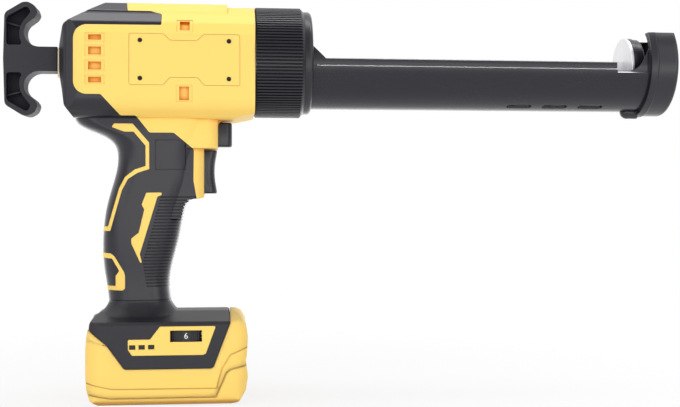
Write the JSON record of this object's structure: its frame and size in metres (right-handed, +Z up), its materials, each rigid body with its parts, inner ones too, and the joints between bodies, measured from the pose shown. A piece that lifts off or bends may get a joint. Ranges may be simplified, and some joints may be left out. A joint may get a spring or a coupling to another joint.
{
  "type": "cordless caulking tool",
  "caption": "Pistol-grip cordless caulking tool with a half-round cartridge carrier, rack-driven push rod with T-handle, ribbed collar, trigger, speed dial and slide-off battery.",
  "frame": {"origin": "middle of the battery's flat base, which the tool stands on", "axes": "+X along the push rod towards the nozzle, +Z up from the battery to the barrel, +Y to the operator's left when the tool points away"},
  "size_m": [0.4209, 0.0742, 0.245],
  "materials": {
    "yellow_shell": "fine moulded grain",
    "grip_rubber": "soft matt overmould",
    "black_plastic": "fine moulded grain",
    "carrier_plastic": "satin",
    "battery_plastic": "fine moulded grain",
    "puck_rubber": "matt",
    "pale_bush": "smooth",
    "bright_steel": "zinc plated",
    "dark_steel": "black oxide",
    "cast_alloy": "die-cast",
    "contact_brass": "stamped",
    "board": "laminate",
    "clear_window": "smoked light guide"
  },
  "bodies": {
    "tool": {"housing_right": "yellow_shell", "housing_left": "yellow_shell", "overmould_right": "grip_rubber", "overmould_left": "grip_rubber", "accents_right": "yellow_shell", "accents_left": "yellow_shell", "side_plate": "yellow_shell", "side_plate_screws": "dark_steel", "housing_screws": "dark_steel", "rear_rod_bush": "pale_bush", "gearbox_case": "cast_alloy", "motor_can": "bright_steel", "motor_end_bell": "black_plastic", "pinion_bearings": "bright_steel", "trigger_switch": "black_plastic", "trigger_spring": "bright_steel", "lock_spring": "bright_steel", "foot_shell": "black_plastic", "foot_base": "black_plastic", "foot_panel": "yellow_shell", "led_windows": "clear_window", "terminal_block": "black_plastic", "control_board": "board"},
    "plunger": {"push_rod": "bright_steel", "rod_handle": "black_plastic", "handle_pin": "bright_steel", "piston_plate": "bright_steel", "piston_puck": "puck_rubber", "piston_screw": "bright_steel"},
    "drive": {"drive_pinion": "bright_steel"},
    "collar": {"collar_nut": "black_plastic"},
    "carrier": {"carrier_trough": "carrier_plastic", "front_cap": "carrier_plastic", "cap_screw": "dark_steel"},
    "trigger": {"trigger": "black_plastic"},
    "lock": {"lock_button": "black_plastic"},
    "dial": {"speed_dial": "black_plastic"},
    "battery": {"battery_case_top": "battery_plastic", "battery_case_bottom": "battery_plastic", "battery_cells": "bright_steel", "battery_terminals": "contact_brass"}
  },
  "joints": [
    {"name": "plunger_slide", "type": "slide", "parent": "tool", "child": "plunger", "axis": [1, 0, 0], "range_m": [-0.2, 0]},
    {"name": "drive_pinion_spin", "type": "hinge", "parent": "tool", "child": "drive", "pos_m": [0.022, 0, 0.19475], "axis": [0, 1, 0], "continuous": true},
    {"name": "collar_turn", "type": "hinge", "parent": "tool", "child": "collar", "pos_m": [0.07, 0, 0.21], "axis": [1, 0, 0], "range_deg": [0, 90]},
    {"name": "carrier_swivel", "type": "hinge", "parent": "tool", "child": "carrier", "pos_m": [0.08, 0, 0.21], "axis": [1, 0, 0], "continuous": true},
    {"name": "trigger_pull", "type": "slide", "parent": "tool", "child": "trigger", "axis": [-1, 0, 0], "range_m": [0, 0.006], "stiffness_N_per_m": 600, "springref_m": -0.004, "deforming": ["trigger_spring"]},
    {"name": "lock_press", "type": "slide", "parent": "tool", "child": "lock", "axis": [-1, 0, 0], "range_m": [0, 0.003], "stiffness_N_per_m": 800, "springref_m": -0.003, "deforming": ["lock_spring"]},
    {"name": "speed_dial_turn", "type": "hinge", "parent": "tool", "child": "dial", "pos_m": [0.01367, -0.0244, 0.04172], "axis": [0, 0, 1], "range_deg": [-240, 0]},
    {"name": "battery_release", "type": "slide", "parent": "tool", "child": "battery", "axis": [0, 0, -1], "range_m": [0, 0.06]}
  ],
  "couplings": [
    {"joint": "drive_pinion_spin", "follows": "plunger_slide", "rad_per_m": 114.29}
  ]
}
